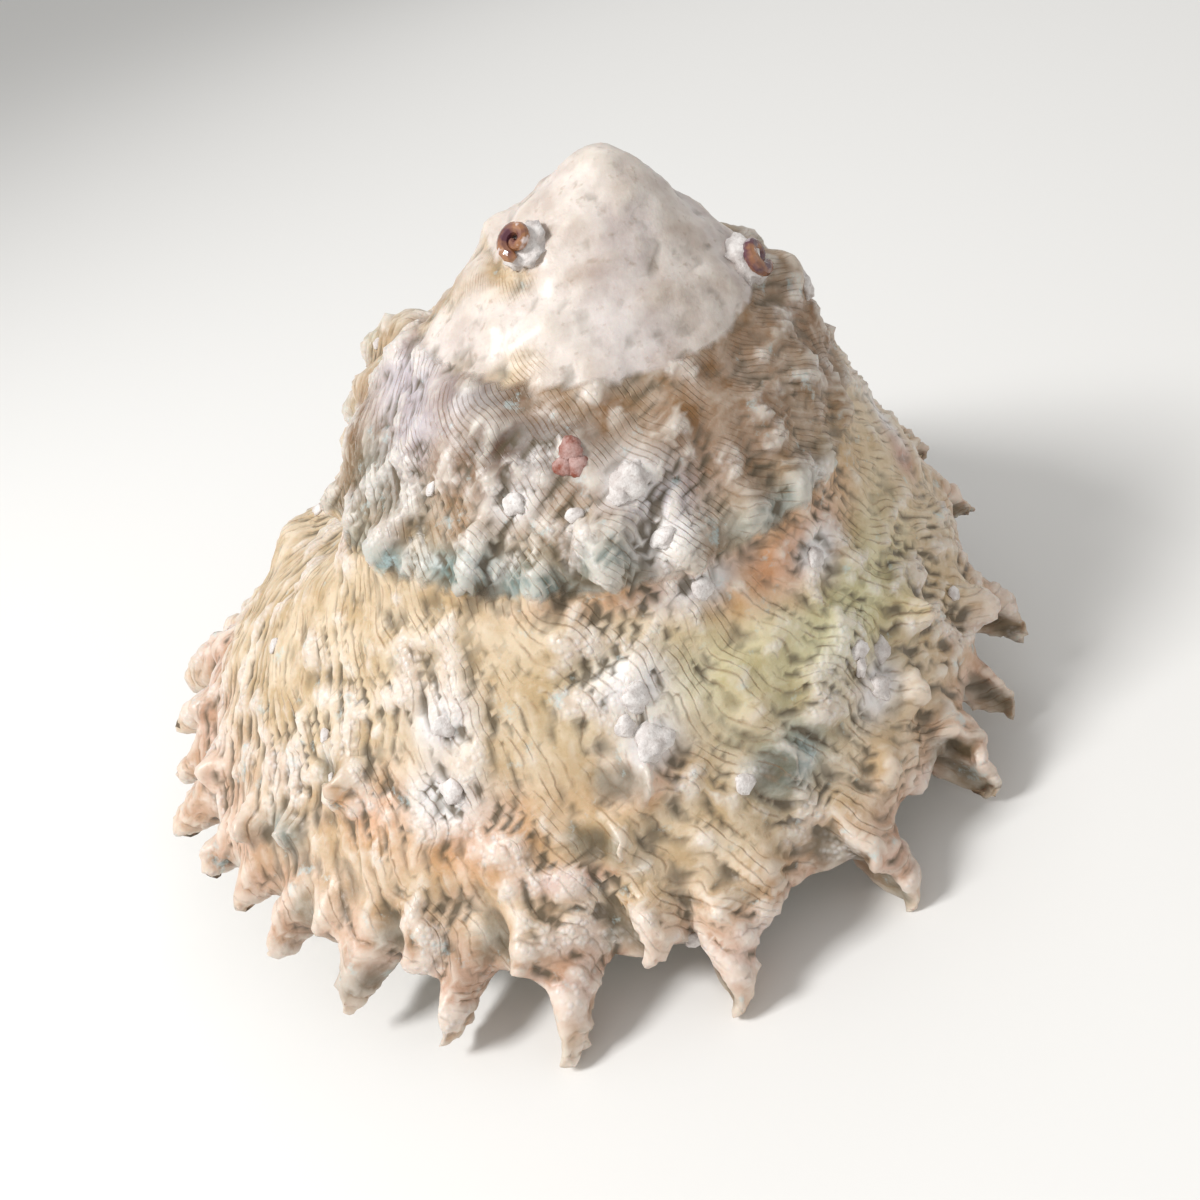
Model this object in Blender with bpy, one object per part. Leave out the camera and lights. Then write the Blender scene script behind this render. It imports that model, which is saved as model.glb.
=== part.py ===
"""A star shell standing on its base: one coiled shell with scoop spines round its keel.

Two small worm-snail tubes grow on the old top of the coil. The coil is worked out in
its own frame, in millimetres: its axis is vertical, its tip is the origin, and depth is
counted downwards from the tip. A turn angle says how far the shell had grown: it is 0 at
the front of the last turn, it rises to the left, and each turn before is 360 less.
A level runs down the wall of a turn, from 0 at the seam to 1 at the keel.
"""

import math
import random

import bmesh
import bpy
from mathutils import Matrix, Vector, noise

MM = 0.001

# The coil
KEEL_RADIUS = 25.7        # from the axis to the keel, at turn angle 0
GROWTH = 1.687            # how many times wider each turn is than the one before
SPIRE_SLOPE = 0.749       # depth for each mm of radius, at the tip
SPIRE_STEEPENING = 0.023  # further depth for each square mm of radius
FIRST_ANGLE = -2700.0     # the oldest growth, too small to see
LIP_ANGLE = 214.0         # where the outer lip meets the seam
LIP_SLANT = 44.0          # growth lines and the lip lie this much further back at the keel
LEVEL_OFF_ANGLE = 112.0   # from this turn angle on, the keel goes down more slowly
LEVEL_OFF_SHARE = 0.45
RING_STEP = 6.0

# The wall of a turn
WALL_LEVELS = 24
WALL_SWELL = 0.022        # how far the wall bulges, for each mm of keel radius
SHELL_WALL = 1.7          # thickness of the wall round the mouth
BASE_RISE = 0.27          # how far the base rises to the axis, for each mm of keel radius
BASE_BEND = 1.5           # 1 is a straight slope, and more keeps the rise near the axis
BASE_END = 0.04           # how near the axis the base ends, for each mm of keel radius
BASE_STEPS = 9
PILLAR = 0.10             # radius of the pillar round the axis, for each mm of keel radius
PILLAR_FIRST = -1800      # turn angles of the base that it reaches
PILLAR_LAST = 190
PILLAR_STEP = 30
BASE_SLANT_SHARE = 0.65   # share of the slant that is left where the base ends
AXIS_LEVELS = (0.7, 0.4, 0.15)
ROOF_PLACES = (0.25, 0.6, 0.9)   # the tube's inner side, inside the turn before
ROOF_RISE = 0.04
RIB_FIRST_LEVEL = 0.45    # the ribs rise from nothing here to full height
RIB_LAST_LEVEL = 0.85
RIBS_PER_TURN = 25
RIB_HEIGHT = 0.022        # for each mm of keel radius
SINK_FIRST = 52.0         # from this turn angle on, the seam sinks under the old keel
SINK_LAST = 176.0         # and here it has come back up
SINK_SPAN = 50.0
SINK_DEPTH = 5.6
SINK_LEVEL = 0.30         # how far down the wall the sinking is felt

# The hollow of the mouth
MOUTH_LENGTH = 300.0      # degrees of turn that it reaches back from the lip
MOUTH_BEYOND = 14.0       # and past the lip, so that the cut is clean
MOUTH_STEPS = 40
PILLAR_RISE = 0.10
MOUTH_WALL_LEVELS = (                    # level, thickness for each mm of SHELL_WALL
    (0.03, 1.8), (0.18, 1.3), (0.50, 1.0), (0.90, 1.3),
)
MOUTH_BASE_PLACES = (0.16, 0.50, 0.80)
MOUTH_PILLAR_LEVELS = (0.62, 0.30)
MOUTH_ROOF_PLACES = (0.60,)
MOUTH_CURVE_PARTS = (0.0, 0.33, 0.67)

# Spines round the keel: turn angle, length, half width, half thickness
SPINES = (
    (-112, 3.0, 1.6, 1.1), (-99, 3.4, 1.5, 1.1), (-77, 4.3, 2.0, 1.1), (-64, 4.2, 1.8, 1.2),
    (-51, 4.4, 2.2, 1.3), (-33, 4.6, 2.1, 1.6), (-10.5, 4.4, 2.7, 1.9), (8, 5.2, 2.4, 1.7),
    (21, 4.3, 2.2, 1.6), (33, 3.9, 2.1, 1.7), (45, 3.1, 1.8, 1.5), (54, 2.5, 1.4, 1.3),
    (62, 2.7, 1.4, 1.3), (71, 3.3, 1.6, 1.4), (81, 2.8, 1.5, 1.4), (92, 3.8, 1.5, 1.4),
    (101, 3.5, 1.9, 1.6), (112, 3.4, 1.7, 1.4), (124, 3.5, 1.6, 1.4), (137, 3.3, 1.6, 1.4),
    (150, 3.4, 1.7, 1.4), (162, 3.6, 1.7, 1.4),
)
SPINE_DROOP = 34.0        # degrees below the level of the keel
SPINE_ROOT = 2.6          # how far a spine starts inside the wall
BACK_SPINES = range(-160, -118, 12)

# Knobs of the upper row: turn angle, level, length, half width, half thickness, rise
KNOBS = (
    (-70, 0.80, 2.4, 1.6, 1.2, 0), (-53, 0.94, 2.8, 1.5, 1.3, 0), (-47, 0.68, 2.2, 1.7, 1.2, 10),
    (-55, 0.52, 2.2, 1.6, 1.0, 15), (-30, 0.90, 2.8, 2.0, 1.6, -8), (-16, 0.86, 2.2, 2.2, 1.7, -5),
    (-2, 0.87, 2.8, 1.9, 1.6, -8), (13, 0.86, 2.8, 2.1, 1.7, -12), (26, 0.87, 2.8, 1.9, 1.6, -8),
    (39, 0.91, 2.4, 1.8, 1.6, -5), (49, 0.76, 2.1, 1.4, 1.3, 15), (56, 0.82, 2.2, 1.4, 1.3, 10),
    (70, 0.84, 1.9, 1.5, 1.3, 10), (84, 0.84, 1.8, 1.5, 1.3, 10), (97, 0.82, 1.9, 1.6, 1.4, 10),
    (42, 0.56, 2.0, 1.7, 1.5, 30), (-2, 0.50, 1.6, 1.7, 1.2, 40), (2, 0.64, 1.8, 1.6, 1.4, 30),
    (-23, 0.60, 1.4, 1.6, 1.3, 40), (-38, 0.80, 1.5, 1.6, 1.4, 10), (8, 0.76, 1.5, 1.9, 1.5, 20),
)
BACK_KNOBS = tuple(range(-154, -84, 12)) + (110, 123, 136, 149, 162)

# Swellings and dents of the wall: turn angle, level, height, half length along the coil, half width
SWELLINGS = (
    (104, 0.36, 1.6, 2.6, 1.6), (114, 0.64, -1.9, 6.0, 4.2), (70, 0.24, 0.8, 2.4, 3.2),
    (-284, 0.60, 0.9, 2.0, 3.0), (-240, 0.08, -2.0, 5.0, 2.8),
    (-318, 0.18, 1.3, 1.4, 3.4), (-330, 0.34, 0.9, 1.1, 2.6), (-306, 0.30, 0.8, 1.2, 3.0),
    (-352, 0.18, 0.7, 1.6, 2.2), (-372, 0.30, 0.7, 2.2, 1.6), (-392, 0.34, 0.8, 2.0, 1.8),
    (-404, 0.62, 1.0, 1.8, 2.2), (-424, 0.50, 0.9, 1.6, 2.6),
    (-450, 0.20, 2.4, 1.4, 1.5), (-446, 0.55, 0.9, 1.6, 1.8), (-452, 0.92, 1.3, 1.0, 1.0),
    (-478, 0.40, 1.2, 2.0, 2.0),
    (-90, 0.42, 0.5, 2.6, 3.2), (-76, 0.62, 0.9, 2.2, 2.2), (-112, 0.50, -0.9, 3.0, 3.0),
    (-592, 0.85, -2.2, 5.5, 3.4), (-268, 0.95, -1.9, 6.0, 4.0), (-646, 0.30, 0.6, 1.4, 1.0), (-984, 0.78, 0.9, 0.8, 0.7),
    (-960, 0.30, -0.6, 2.4, 1.4), (-1320, 0.50, -0.5, 1.6, 1.6),
    (-803, 0.20, 0.7, 0.5, 0.5), (-42, 0.88, 0.9, 1.5, 1.5), (-360, 0.52, 0.6, 0.9, 0.8),
    (-2, 0.34, 0.4, 2.2, 2.2), (28, 0.30, 0.3, 2.4, 2.4), (18, 0.70, 0.8, 3.5, 2.0),
    (34, 0.72, 0.9, 2.4, 2.4), (-12, 0.72, 0.8, 2.8, 1.6),
)
# Knobs of the turn before, above and along the seam: turn angle, level, length, half width
SEAM_KNOBS = (
    (-311, 0.90, 2.0, 1.5), (-322, 0.94, 1.4, 1.1), (-331, 0.90, 1.8, 1.2), (-345, 0.95, 1.6, 1.3),
    (-358, 0.88, 1.7, 1.6), (-374, 0.90, 1.3, 1.3), (-388, 0.88, 1.2, 1.3), (-400, 0.90, 1.4, 1.3),
    (-414, 0.92, 1.4, 1.2), (-430, 0.88, 1.5, 1.3), (-298, 0.90, 1.3, 1.3), (-284, 0.94, 1.5, 1.4),
    (-270, 0.98, 0.9, 1.4), (-258, 0.98, 0.7, 1.4), (-246, 0.98, 0.7, 1.4),
    (-241, 0.50, 3.2, 1.6), (-254, 0.66, 1.3, 1.5), (-226, 0.60, 1.8, 1.5), (-274, 0.20, 1.0, 1.1),
)
SEAM_KNOB_DROOP = 24.0
BACK_SEAM_KNOBS = range(-234, -164, 12)

# How it stands: the coil leans until its base touches in three places
LEAN_FRONT = 7.1          # degrees, the tip towards the front
LEAN_RIGHT = 13.4         # degrees, the tip towards the right
FOOT_WEAR = 0.45          # how much of the lowest points is worn flat

# Making the solid
VOXEL = 0.5
SHELL_FACES = 9000

# Worm-snail tubes: turn angle and level of the coil's middle, outer radius, tube radius
WORM_SNAILS = {
    "worm_snail_left": (-1030, 0.62, 1.05, 0.42),
    "worm_snail_right": (-801, 0.80, 1.15, 0.45),
}
WORM_TURNS = 1.35
WORM_GAP = 0.45           # from the shell's wall, which is only true to its facets

SHELL_COLOUR = (0.70, 0.62, 0.49, 1.0)
WORM_COLOUR = (0.30, 0.15, 0.14, 1.0)


def keel_radius(angle):
    return KEEL_RADIUS * GROWTH ** (angle / 360.0)


def depth_of(radius):
    return SPIRE_SLOPE * radius + SPIRE_STEEPENING * radius * radius


def keel_depth(angle):
    """Depth of the keel, which goes down less in the last part before the lip."""
    depth = depth_of(keel_radius(angle))
    if angle > LEVEL_OFF_ANGLE:
        start = depth_of(keel_radius(LEVEL_OFF_ANGLE))
        depth = start + (depth - start) * LEVEL_OFF_SHARE
    return depth


def to_point(angle, radius, depth):
    """The place in the coil's frame at a turn angle, a radius and a depth below the tip."""
    turn = math.radians(angle)
    return Vector((-radius * math.sin(turn), -radius * math.cos(turn), -depth))


def growth_direction(angle):
    turn = math.radians(angle)
    return Vector((-math.cos(turn), math.sin(turn), 0.0))


def outward_direction(angle, rise):
    """Straight out from the axis at a turn angle, raised by some degrees."""
    out = to_point(angle, 1.0, 0.0)
    tilt = math.radians(rise)
    return out * math.cos(tilt) + Vector((0.0, 0.0, math.sin(tilt)))


def wall_frame(angle):
    """Seam and keel of a turn, in radius and depth, and the wall's outward direction."""
    seam = Vector((keel_radius(angle - 360.0), keel_depth(angle - 360.0)))
    keel = Vector((keel_radius(angle), keel_depth(angle)))
    run = keel - seam
    out = Vector((run.y, -run.x)).normalized()
    return seam, keel, out


def wall_relief(angle, level):
    """Height of the ribs, swellings and lumps on the wall, in mm."""
    seam, keel, _ = wall_frame(angle)
    radius = seam.x + (keel.x - seam.x) * level
    slope = (keel - seam).length
    height = WALL_SWELL * keel.x * math.sin(math.pi * level)
    fade = (level - RIB_FIRST_LEVEL) / (RIB_LAST_LEVEL - RIB_FIRST_LEVEL)
    fade = min(1.0, max(0.0, fade))
    rib = 0.5 + 0.5 * math.cos(math.radians(angle) * RIBS_PER_TURN)
    height += RIB_HEIGHT * keel.x * fade * rib
    sinking = min(1.0, max(0.0, min(angle - SINK_FIRST, SINK_LAST - angle) / SINK_SPAN))
    sinking = sinking * sinking * (3.0 - 2.0 * sinking)
    height -= SINK_DEPTH * sinking * math.exp(-((level / SINK_LEVEL) ** 2))
    for at, low, rise, along, across in SWELLINGS:
        if abs(angle - at) < 60.0:
            gone = math.radians(angle - at) * radius / along
            down = (level - low) * slope / across
            height += rise * math.exp(-gone * gone - down * down)
    place = to_point(angle, radius, seam.y + (keel.y - seam.y) * level)
    roughness = 0.35 if angle > -700.0 else 0.12
    height += roughness * noise.noise(place * 0.35)
    return height


def wall_point(angle, level):
    """Radius and depth of the outer wall."""
    seam, keel, out = wall_frame(angle)
    return seam + (keel - seam) * level + out * wall_relief(angle, level)


def base_point(angle, inward):
    """Radius and depth of the base: inward is 0 at the keel and 1 at the pillar."""
    keel = wall_point(angle, 1.0)
    radius = keel.x + (BASE_END * keel.x - keel.x) * inward
    return Vector((radius, keel.y - BASE_RISE * keel.x * inward ** BASE_BEND))


def base_angle(growth, inward):
    """Where a growth line crosses the base, which it does with ever less slant."""
    return growth - LIP_SLANT * (1.0 + (BASE_SLANT_SHARE - 1.0) * inward)


def ring(growth):
    """One growth ring of the tube, from the seam over the keel and the base to the axis."""
    points = []
    for step in range(WALL_LEVELS + 1):
        level = step / WALL_LEVELS
        angle = growth - LIP_SLANT * level
        points.append(to_point(angle, *wall_point(angle, level)))
    for step in range(1, BASE_STEPS + 1):
        inward = step / BASE_STEPS
        angle = base_angle(growth, inward)
        points.append(to_point(angle, *base_point(angle, inward)))
    seam, keel, _ = wall_frame(growth)
    for level in AXIS_LEVELS:
        angle = growth - LIP_SLANT * BASE_SLANT_SHARE * level
        depth = seam.y + (keel.y - seam.y) * level
        points.append(to_point(angle, BASE_END * keel.x, depth))
    for share in ROOF_PLACES:
        points.append(to_point(growth, seam.x * share, seam.y - ROOF_RISE * keel.x))
    return points


def skin(bm, rings):
    """A closed tube through rings that have the same number of points, facing outwards."""
    loops = [[bm.verts.new(point) for point in points] for points in rings]
    count = len(loops[0])
    faces = []
    for near, far in zip(loops, loops[1:]):
        for index in range(count):
            after = (index + 1) % count
            faces.append(bm.faces.new((near[index], near[after], far[after], far[index])))
    for loop, step in ((loops[0], -1), (loops[-1], 1)):
        hub = bm.verts.new(sum((vertex.co for vertex in loop), Vector()) / count)
        for index in range(count):
            faces.append(bm.faces.new((loop[index], loop[(index + step) % count], hub)))
    volume = 0.0
    for face in faces:
        corners = [vertex.co for vertex in face.verts]
        for second, third in zip(corners[1:], corners[2:]):
            volume += corners[0].dot(second.cross(third))
    if volume < 0.0:
        bmesh.ops.reverse_faces(bm, faces=faces)


def add_whorls(bm):
    growth = FIRST_ANGLE
    rings = []
    while growth < LIP_ANGLE:
        rings.append(ring(growth))
        growth += RING_STEP
    rings.append(ring(LIP_ANGLE))
    skin(bm, rings)


def add_pillar(bm):
    """The solid pillar round the axis, down to where the base of each turn ends."""
    rings = []
    for angle in range(PILLAR_FIRST, PILLAR_LAST, PILLAR_STEP):
        depth = base_point(angle, 1.0).y
        radius = PILLAR * keel_radius(angle)
        rings.append([to_point(corner, radius, depth) for corner in range(0, 360, PILLAR_STEP)])
    skin(bm, rings)


def add_scoop(bm, base, direction, forward, length, half_width, half_thickness, groove):
    """A blunt spine whose forward side is hollowed into a scoop."""
    across = direction.cross(forward).normalized()
    forward = across.cross(direction).normalized()
    sides = 18
    rings = []
    steps = 9
    for step in range(steps + 1):
        along = step / steps
        taper = math.sqrt(max(0.0, 1.0 - (0.985 * along) ** 3.2))
        flare = 1.0 + 0.35 * (1.0 - along) ** 3
        centre = base + direction * (along * (length + SPINE_ROOT) - SPINE_ROOT)
        points = []
        for side in range(sides):
            turn = 2.0 * math.pi * side / sides
            bend = math.atan2(math.sin(turn), math.cos(turn))
            dent = 1.0 - groove * math.exp(-((bend / 0.75) ** 2))
            size = taper * flare * dent
            points.append(
                centre
                + forward * (math.cos(turn) * half_thickness * size)
                + across * (math.sin(turn) * half_width * size)
            )
        rings.append(points)
    skin(bm, rings)


def add_spines(bm):
    for angle, length, half_width, half_thickness in SPINES:
        base = to_point(angle, *wall_point(angle, 1.0))
        direction = outward_direction(angle, -SPINE_DROOP)
        add_scoop(bm, base, direction, growth_direction(angle), length, half_width,
                  half_thickness, 0.7)
    draw = random.Random(4)
    for angle in BACK_SPINES:
        at = angle + draw.uniform(-2.0, 2.0)
        base = to_point(at, *wall_point(at, 1.0))
        direction = outward_direction(at, -SPINE_DROOP + draw.uniform(-5.0, 5.0))
        add_scoop(bm, base, direction, growth_direction(at), draw.uniform(2.6, 3.8),
                  draw.uniform(1.1, 1.6), 1.1, 0.6)


def add_knobs(bm):
    for angle, level, length, half_width, half_thickness, rise in KNOBS:
        base = to_point(angle, *wall_point(angle, level))
        add_scoop(bm, base, outward_direction(angle, rise), growth_direction(angle), length,
                  half_width, half_thickness, 0.45)
    for angle, level, length, half_width in SEAM_KNOBS:
        base = to_point(angle, *wall_point(angle, level))
        direction = outward_direction(angle, -SEAM_KNOB_DROOP)
        add_scoop(bm, base, direction, growth_direction(angle), length, half_width,
                  half_width * 0.9, 0.4)
    draw = random.Random(7)
    for angle in BACK_SEAM_KNOBS:
        base = to_point(angle, *wall_point(angle, 0.94))
        direction = outward_direction(angle, -SEAM_KNOB_DROOP)
        add_scoop(bm, base, direction, growth_direction(angle), draw.uniform(1.4, 2.2),
                  draw.uniform(1.1, 1.4), 1.2, 0.4)
    for angle in BACK_KNOBS:
        at = angle + draw.uniform(-2.5, 2.5)
        base = to_point(at, *wall_point(at, 0.84))
        add_scoop(bm, base, outward_direction(at, draw.uniform(-5.0, 15.0)), growth_direction(at),
                  draw.uniform(1.2, 2.1), draw.uniform(1.0, 1.4), 1.0, 0.4)


def mouth_outline(growth):
    """Corners of the hollow, from the seam round the wall, the base and the pillar."""
    corners = []
    for level, share in MOUTH_WALL_LEVELS:
        angle = growth - LIP_SLANT * level
        out = wall_frame(angle)[2]
        spot = wall_point(angle, level) - out * SHELL_WALL * share
        corners.append((angle, spot.x, spot.y))
    for inward in MOUTH_BASE_PLACES:
        angle = base_angle(growth, inward)
        spot = base_point(angle, inward)
        corners.append((angle, spot.x, spot.y - SHELL_WALL))
    seam, keel, _ = wall_frame(growth)
    for level in MOUTH_PILLAR_LEVELS:
        depth = seam.y + (keel.y - seam.y) * level - PILLAR_RISE * keel.x
        corners.append((growth - LIP_SLANT * level, PILLAR * keel.x + SHELL_WALL, depth))
    for inward in MOUTH_ROOF_PLACES:
        spot = base_point(growth - 360.0, inward)
        corners.append((growth, spot.x, spot.y + SHELL_WALL))
    return corners


def mouth_ring(growth, swell):
    """A smooth closed curve through the corners of the hollow."""
    corners = mouth_outline(growth)
    count = len(corners)
    middle = [sum(corner[axis] for corner in corners) / count for axis in range(3)]
    points = []
    for index in range(count):
        before, here, after, beyond = (Vector(corners[(index + k) % count]) for k in (-1, 0, 1, 2))
        for part in MOUTH_CURVE_PARTS:
            curve = (here * 2.0 + (after - before) * part
                     + (before * 2.0 - here * 5.0 + after * 4.0 - beyond) * part ** 2
                     + (here * 3.0 - before - after * 3.0 + beyond) * part ** 3) * 0.5
            spot = Vector(middle).lerp(curve, swell)
            points.append(to_point(*spot))
    return points


def add_mouth(bm):
    rings = []
    first = LIP_ANGLE - MOUTH_LENGTH
    length = MOUTH_LENGTH + MOUTH_BEYOND
    for step in range(MOUTH_STEPS + 1):
        along = step / MOUTH_STEPS
        rings.append(mouth_ring(first + length * along, min(1.0, 0.35 + 1.6 * along)))
    skin(bm, rings)


def surface_normal(angle, level):
    here = to_point(angle, *wall_point(angle, level))
    ahead = to_point(angle + 1.0, *wall_point(angle + 1.0, level)) - here
    below = to_point(angle, *wall_point(angle, level + 0.02)) - here
    normal = ahead.cross(below).normalized()
    if normal.dot(outward_direction(angle, 30.0)) < 0.0:
        normal.negate()
    return normal


def add_worm_snail(bm, angle, level, coil_radius, tube_radius):
    """A flat coil of tube that lies along the wall, a little clear of it."""
    middle = to_point(angle, *wall_point(angle, level))
    normal = surface_normal(angle, level)
    side = growth_direction(angle)
    side = (side - normal * side.dot(normal)).normalized()
    other = normal.cross(side)
    rings = []
    steps = 26
    sides = 10
    for step in range(steps + 1):
        along = step / steps
        turn = 2.0 * math.pi * WORM_TURNS * along
        reach = coil_radius * (0.28 + 0.72 * along) - tube_radius * 0.4
        round_end = math.sqrt(max(0.05, 1.0 - (abs(2.0 * along - 1.0)) ** 12))
        thick = tube_radius * (0.55 + 0.45 * along) * round_end
        flat = side * math.cos(turn) + other * math.sin(turn)
        centre = middle + flat * reach + normal * (tube_radius + WORM_GAP)
        points = []
        for corner in range(sides):
            bend = 2.0 * math.pi * corner / sides
            points.append(centre + (flat * math.cos(bend) + normal * math.sin(bend)) * thick)
        rings.append(points)
    skin(bm, rings)


def standing():
    """Turns the coil's frame into the standing one, still in millimetres."""
    front = Matrix.Rotation(math.radians(LEAN_FRONT), 4, "X")
    right = Matrix.Rotation(math.radians(LEAN_RIGHT), 4, "Y")
    return right @ front


def make_mesh(name, fill, stand):
    bm = bmesh.new()
    fill(bm)
    bmesh.ops.transform(bm, matrix=stand, verts=bm.verts)
    bmesh.ops.scale(bm, vec=(MM, MM, MM), verts=bm.verts)
    mesh = bpy.data.meshes.new(name)
    bm.to_mesh(mesh)
    bm.free()
    return mesh


def add_object(name, mesh):
    thing = bpy.data.objects.new(name, mesh)
    bpy.context.scene.collection.objects.link(thing)
    return thing


def evaluated_copy(thing):
    bpy.context.view_layer.update()
    graph = bpy.context.evaluated_depsgraph_get()
    return bpy.data.meshes.new_from_object(thing.evaluated_get(graph))


def fill_shell(bm):
    add_whorls(bm)
    add_pillar(bm)
    add_spines(bm)
    add_knobs(bm)


def make_shell(stand):
    """Grows the solids of the coil into one, hollows its mouth and wears its feet flat."""
    grown = add_object("grown", make_mesh("grown", fill_shell, stand))
    union = grown.modifiers.new("union", "REMESH")
    union.mode = "VOXEL"
    union.voxel_size = VOXEL * MM
    hollow = add_object("hollow_cutter", make_mesh("hollow_cutter", add_mouth, stand))
    hollow.hide_render = True
    hollow.display_type = "WIRE"
    cut = grown.modifiers.new("mouth", "BOOLEAN")
    cut.operation = "DIFFERENCE"
    cut.object = hollow
    again = grown.modifiers.new("again", "REMESH")
    again.mode = "VOXEL"
    again.voxel_size = VOXEL * MM
    dense = evaluated_copy(grown)
    grown.modifiers.clear()
    grown.data = dense
    dense.calc_loop_triangles()
    fewer = grown.modifiers.new("fewer", "DECIMATE")
    fewer.ratio = SHELL_FACES / len(dense.loop_triangles)
    coarse = evaluated_copy(grown)
    keep_largest_body(coarse)
    bpy.data.objects.remove(grown)
    bpy.data.objects.remove(hollow)
    return coarse


def keep_largest_body(mesh):
    """Removes the specks that the union leaves inside, so one closed body remains."""
    bm = bmesh.new()
    bm.from_mesh(mesh)
    unseen = set(bm.verts)
    bodies = []
    while unseen:
        body = [unseen.pop()]
        for vertex in body:
            for edge in vertex.link_edges:
                other = edge.other_vert(vertex)
                if other in unseen:
                    unseen.remove(other)
                    body.append(other)
        bodies.append(body)
    bodies.sort(key=len)
    for body in bodies[:-1]:
        bmesh.ops.delete(bm, geom=body, context="VERTS")
    bm.to_mesh(mesh)
    bm.free()


def wear_flat(mesh, height):
    """Cuts the solid off level at a height and closes the cut."""
    bm = bmesh.new()
    bm.from_mesh(mesh)
    everything = bm.verts[:] + bm.edges[:] + bm.faces[:]
    made = bmesh.ops.bisect_plane(bm, geom=everything, plane_co=(0.0, 0.0, height),
                                  plane_no=(0.0, 0.0, 1.0), clear_inner=True)
    rim = [item for item in made["geom_cut"] if isinstance(item, bmesh.types.BMEdge)]
    bmesh.ops.holes_fill(bm, edges=rim, sides=0)
    bmesh.ops.triangulate(bm, faces=bm.faces)
    bmesh.ops.recalc_face_normals(bm, faces=bm.faces)
    bm.to_mesh(mesh)
    bm.free()


def paint(thing, name, colour, roughness):
    material = bpy.data.materials.new(name)
    material.use_nodes = True
    surface = material.node_tree.nodes["Principled BSDF"]
    surface.inputs["Base Color"].default_value = colour
    surface.inputs["Roughness"].default_value = roughness
    surface.inputs["Metallic"].default_value = 0.0
    thing.data.materials.clear()
    thing.data.materials.append(material)


def box_of(mesh):
    places = [vertex.co for vertex in mesh.vertices]
    low = Vector([min(place[axis] for place in places) for axis in range(3)])
    high = Vector([max(place[axis] for place in places) for axis in range(3)])
    return low, high


def main():
    for thing in list(bpy.data.objects):
        bpy.data.objects.remove(thing, do_unlink=True)
    stand = standing()
    shell_mesh = make_shell(stand)
    low, high = box_of(shell_mesh)
    wear_flat(shell_mesh, low.z + FOOT_WEAR * MM)
    low, high = box_of(shell_mesh)
    middle = (low + high) / 2.0
    settle = Matrix.Translation((-middle.x, -middle.y, -low.z))
    shell_mesh.transform(settle)
    shell = add_object("shell", shell_mesh)
    shell_mesh.shade_smooth()
    paint(shell, "shell", SHELL_COLOUR, 0.55)
    for name, (angle, level, coil_radius, tube_radius) in WORM_SNAILS.items():
        def fill(bm):
            add_worm_snail(bm, angle, level, coil_radius, tube_radius)
        mesh = make_mesh(name, fill, stand)
        mesh.transform(settle)
        mesh.shade_smooth()
        paint(add_object(name, mesh), name, WORM_COLOUR, 0.3)
    return settle


SETTLED = main()
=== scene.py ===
# %% [markdown]
# This lesson dresses a star shell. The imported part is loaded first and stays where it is.
# Everything below is fitted to it, in metres, in the same frame.

# %% Load the part
import math
import random

import bpy
import numpy as np
from mathutils import Matrix, Vector, noise


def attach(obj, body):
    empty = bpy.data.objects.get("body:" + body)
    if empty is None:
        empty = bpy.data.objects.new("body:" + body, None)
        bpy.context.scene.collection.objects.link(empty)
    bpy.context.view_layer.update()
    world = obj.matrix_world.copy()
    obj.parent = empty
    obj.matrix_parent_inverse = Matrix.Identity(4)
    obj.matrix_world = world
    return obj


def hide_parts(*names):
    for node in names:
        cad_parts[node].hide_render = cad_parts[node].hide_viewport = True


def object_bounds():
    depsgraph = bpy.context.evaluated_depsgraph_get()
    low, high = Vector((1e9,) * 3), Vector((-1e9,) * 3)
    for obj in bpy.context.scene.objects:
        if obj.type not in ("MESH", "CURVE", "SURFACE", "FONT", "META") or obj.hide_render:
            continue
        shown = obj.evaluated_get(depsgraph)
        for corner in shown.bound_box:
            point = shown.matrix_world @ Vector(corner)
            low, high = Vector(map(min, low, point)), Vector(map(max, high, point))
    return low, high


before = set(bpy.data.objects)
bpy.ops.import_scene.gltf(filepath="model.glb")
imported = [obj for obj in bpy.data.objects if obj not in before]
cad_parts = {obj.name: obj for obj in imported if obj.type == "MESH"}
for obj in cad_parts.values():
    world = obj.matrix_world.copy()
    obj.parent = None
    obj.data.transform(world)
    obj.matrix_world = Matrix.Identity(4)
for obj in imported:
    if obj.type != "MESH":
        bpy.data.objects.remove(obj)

CAD_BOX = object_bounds()
MM = 0.001
print("box of the part", CAD_BOX)

# %% [markdown]
# A shell grows as a coil. Every point of it has a turn angle, which says how far the shell
# had grown there, and a level, from 0 at the seam to 1 at the keel. These few measures
# are the part's own, so the fine surface can be placed on it without any fitting.

# %% The coil's measures, in millimetres and degrees
KEEL_RADIUS = 25.7
GROWTH = 1.687
SPIRE_SLOPE = 0.749
SPIRE_STEEPENING = 0.023
LIP_ANGLE = 214.0
LIP_SLANT = 44.0
LEVEL_OFF_ANGLE = 112.0
LEVEL_OFF_SHARE = 0.45
WALL_SWELL = 0.022
OLDEST_TURNS = 6
LEAN_FRONT = 7.1
LEAN_RIGHT = 13.4
SETTLE = (11.7658, -7.195, 39.6049)

STAND = (Matrix.Rotation(math.radians(LEAN_RIGHT), 3, "Y")
         @ Matrix.Rotation(math.radians(LEAN_FRONT), 3, "X"))


def keel_radius(angle):
    return KEEL_RADIUS * GROWTH ** (np.asarray(angle, dtype=float) / 360.0)


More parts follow.
